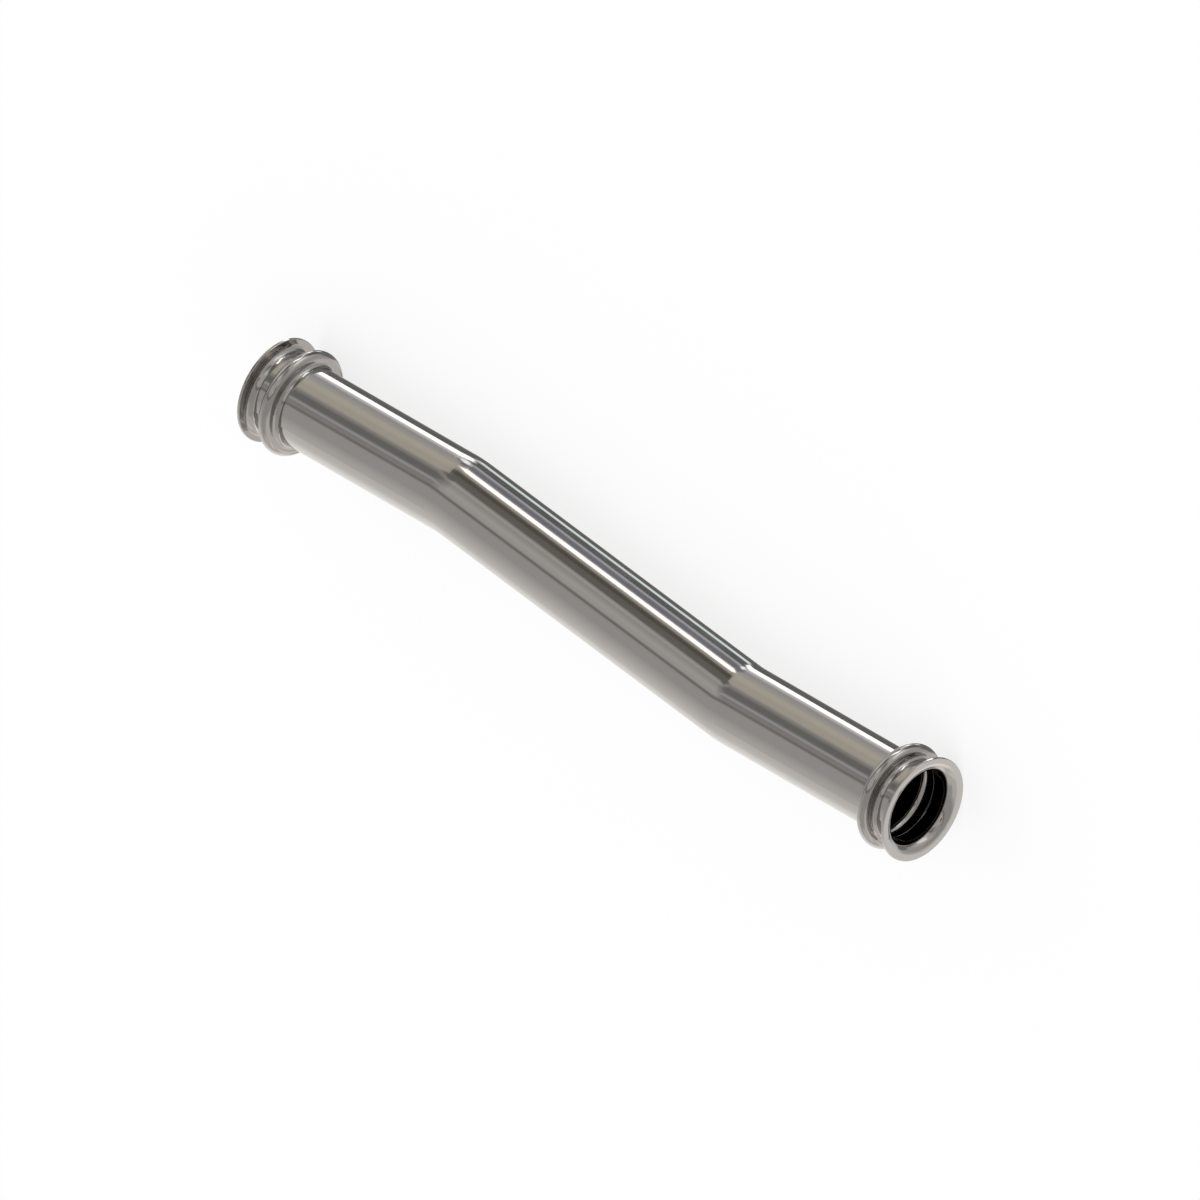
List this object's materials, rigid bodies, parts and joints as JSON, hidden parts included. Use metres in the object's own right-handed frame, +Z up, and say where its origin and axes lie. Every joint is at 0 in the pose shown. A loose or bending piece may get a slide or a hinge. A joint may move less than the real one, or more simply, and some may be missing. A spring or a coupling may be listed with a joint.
{
  "type": "oil filter tube",
  "caption": "Thin-walled steel tube with a gentle S-bend. Each end is rolled into a lip, a seal groove and a hollow bead, to carry oil to or from a filter.",
  "frame": {"origin": "under the middle of the tube, on the surface that it lies on", "axes": "+X along the straight ends, +Y sideways across the step of the bends, +Z up, square to the plane of the bends"},
  "size_m": [0.3364, 0.0638, 0.0423],
  "materials": {
    "polished_steel": "bright polished steel, slightly warm grey"
  },
  "bodies": {
    "root": {"oil_tube": "polished_steel"}
  },
  "joints": []
}
